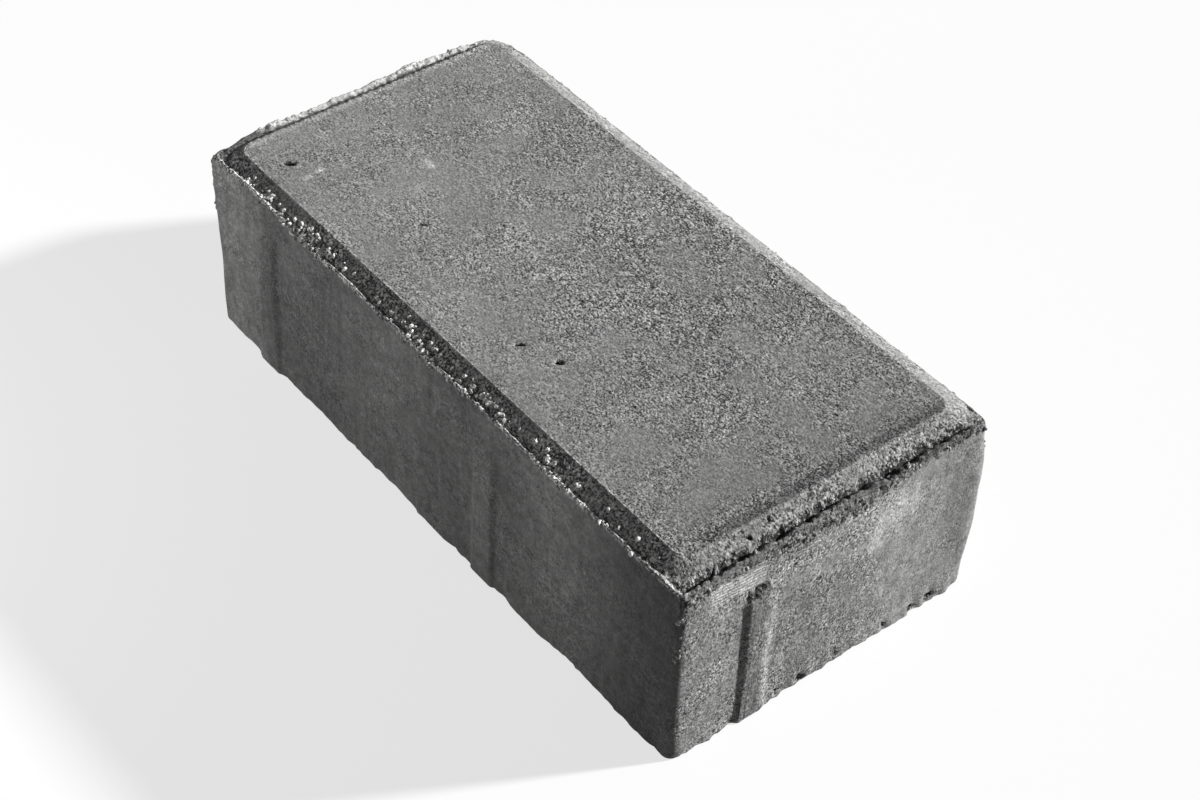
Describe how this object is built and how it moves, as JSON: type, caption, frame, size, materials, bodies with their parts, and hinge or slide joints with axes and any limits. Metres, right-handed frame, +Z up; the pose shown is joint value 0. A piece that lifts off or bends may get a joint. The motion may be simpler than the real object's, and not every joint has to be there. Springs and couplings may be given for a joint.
{
  "type": "concrete paving stone",
  "caption": "Rectangular concrete paving stone with a bevelled upper edge and low upright spacer nibs on its sides.",
  "frame": {"origin": "middle of the bed face, on the ground", "axes": "+X along the stone's length, +Y across its width, +Z up out of the wearing face"},
  "size_m": [0.201, 0.101, 0.06],
  "materials": {
    "concrete": "matt grey concrete with a fine sandy grain"
  },
  "bodies": {
    "root": {"paving_stone": "concrete"}
  },
  "joints": []
}
